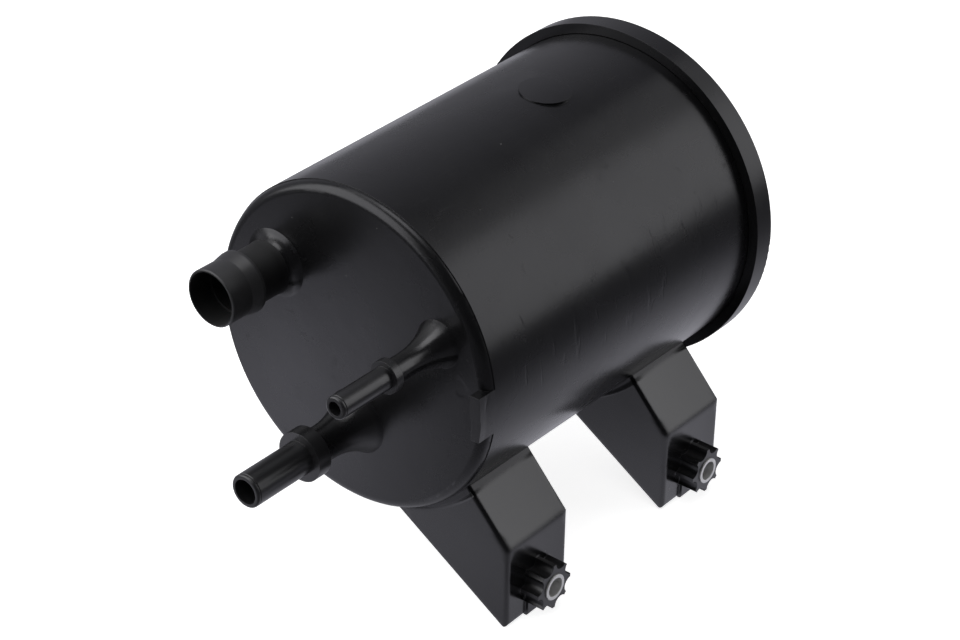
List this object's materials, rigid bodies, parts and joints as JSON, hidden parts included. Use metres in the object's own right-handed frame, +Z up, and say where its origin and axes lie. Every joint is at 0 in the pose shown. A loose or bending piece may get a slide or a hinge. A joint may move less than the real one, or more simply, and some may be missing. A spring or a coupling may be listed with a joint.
{
  "type": "charcoal canister",
  "caption": "Black moulded fuel vapour canister: a cylinder with connector ports and a hose stub on its face, a welded end cover and ribbed bolt feet along one side.",
  "frame": {"origin": "midway between the outer ends of the bolt sleeves", "axes": "+Y along the canister's axis from the ports to the end cover, +X along the bolts and out of the feet, +Z up"},
  "size_m": [0.132, 0.2043, 0.1524],
  "materials": {
    "housing_plastic": "satin moulded black",
    "cover_plastic": "satin moulded black",
    "sleeve_steel": "zinc plated",
    "filler_plastic": "natural moulded",
    "fleece": "needled fleece",
    "carbon": "loose activated carbon pellets",
    "spring_steel": "drawn spring wire"
  },
  "bodies": {
    "root": {"housing": "housing_plastic", "end_cover": "cover_plastic", "front_bolt_sleeve": "sleeve_steel", "rear_bolt_sleeve": "sleeve_steel", "tank_grid": "filler_plastic", "purge_grid": "filler_plastic", "vent_grid": "filler_plastic", "tank_fleece": "fleece", "purge_fleece": "fleece", "vent_fleece": "fleece", "main_carbon_bed": "carbon", "vent_carbon_bed": "carbon", "main_rear_fleece": "fleece", "vent_rear_fleece": "fleece", "main_pressure_plate": "filler_plastic", "vent_pressure_plate": "filler_plastic", "main_spring_upper": "spring_steel", "main_spring_middle": "spring_steel", "main_spring_lower": "spring_steel", "vent_spring_upper": "spring_steel", "vent_spring_lower": "spring_steel"}
  },
  "joints": []
}
